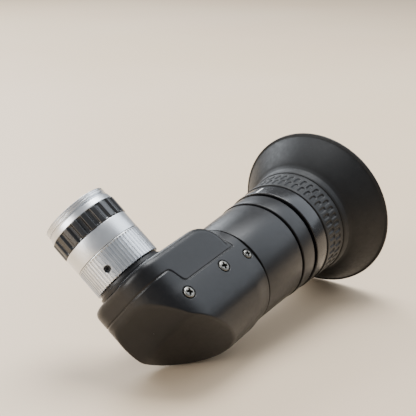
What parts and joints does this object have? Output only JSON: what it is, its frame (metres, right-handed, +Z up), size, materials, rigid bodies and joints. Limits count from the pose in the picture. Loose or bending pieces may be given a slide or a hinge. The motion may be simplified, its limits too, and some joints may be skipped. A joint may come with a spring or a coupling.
{
  "type": "right-angle viewfinder",
  "caption": "Right-angle finder scope: screw-on swivelling coupling, prism housing, barrel with a dioptre ring and a flared rubber eyecup, lying on its side.",
  "frame": {"origin": "middle of the resting object's bounding box, on the table it lies on", "axes": "+Z up from the table. The barrel's axis lies in the XZ plane's direction: +X runs from the closed end of the prism housing to the eyecup, and the barrel climbs 7.45 degrees towards the eyecup. The coupling tube leans 47.3 degrees from upright towards +Y."},
  "size_m": [0.1101, 0.069, 0.0576],
  "materials": {
    "housing_black": "satin black",
    "collar_black": "satin black",
    "screw_steel": "bare, slightly tarnished",
    "lens_glass": "polished, coated",
    "spring_steel": "satin",
    "inner_black": "matt black",
    "guide_aluminium": "machined",
    "focus_gloss_black": "polished black",
    "grip_rubber": "matt, moulded pockets",
    "eyecup_rubber": "matt",
    "index_white": "matt white paint",
    "satin_aluminium": "satin",
    "knurled_aluminium": "knurled, satin",
    "grip_gloss_black": "satin black"
  },
  "bodies": {
    "housing": {"front_shell": "housing_black", "rear_shell": "housing_black", "side_screws": "screw_steel", "flange_screws": "screw_steel", "prism": "lens_glass", "prism_bracket": "spring_steel", "prism_clip": "spring_steel", "bearing_collar": "collar_black", "wave_washer": "spring_steel", "barrel_tube": "housing_black", "mid_ring": "housing_black", "light_baffle": "inner_black", "field_lens": "lens_glass", "field_lens_ring": "inner_black", "field_stop": "inner_black", "guide_tube": "guide_aluminium", "focus_keeper": "inner_black"},
    "dioptre_ring": {"focus_ring": "focus_gloss_black", "grip_band": "grip_rubber", "index_mark": "index_white", "eyecup": "eyecup_rubber"},
    "eyepiece": {"eyepiece_cell": "inner_black", "eye_lens": "lens_glass", "lens_spacer": "inner_black", "inner_lens": "lens_glass", "eye_lens_ring": "inner_black", "guide_pins": "spring_steel"},
    "swivel": {"swivel_sleeve": "satin_aluminium", "knurled_ring": "knurled_aluminium", "set_screws": "inner_black", "swivel_clip": "spring_steel", "objective_lens": "lens_glass", "objective_ring": "inner_black", "coupling_clip": "spring_steel"},
    "coupling": {"grip_ring": "grip_gloss_black", "thread_ring": "satin_aluminium"}
  },
  "joints": [
    {"name": "dioptre_turn", "type": "hinge", "parent": "housing", "child": "dioptre_ring", "pos_m": [0.01969, -0.00555, 0.02472], "axis": [0.9916, 0, 0.1297], "range_deg": [-120, 120]},
    {"name": "eyepiece_slide", "type": "slide", "parent": "housing", "child": "eyepiece", "axis": [0.9916, 0, 0.1297], "range_m": [-0.002, 0.002]},
    {"name": "swivel_turn", "type": "hinge", "parent": "housing", "child": "swivel", "pos_m": [-0.04156, 0.00915, 0.03039], "axis": [-0.0879, 0.7349, 0.6724], "continuous": true},
    {"name": "coupling_turn", "type": "hinge", "parent": "swivel", "child": "coupling", "pos_m": [-0.04314, 0.02238, 0.0425], "axis": [-0.0879, 0.7349, 0.6724], "continuous": true}
  ],
  "couplings": [
    {"joint": "eyepiece_slide", "follows": "dioptre_turn", "m_per_rad": 0.000954}
  ]
}
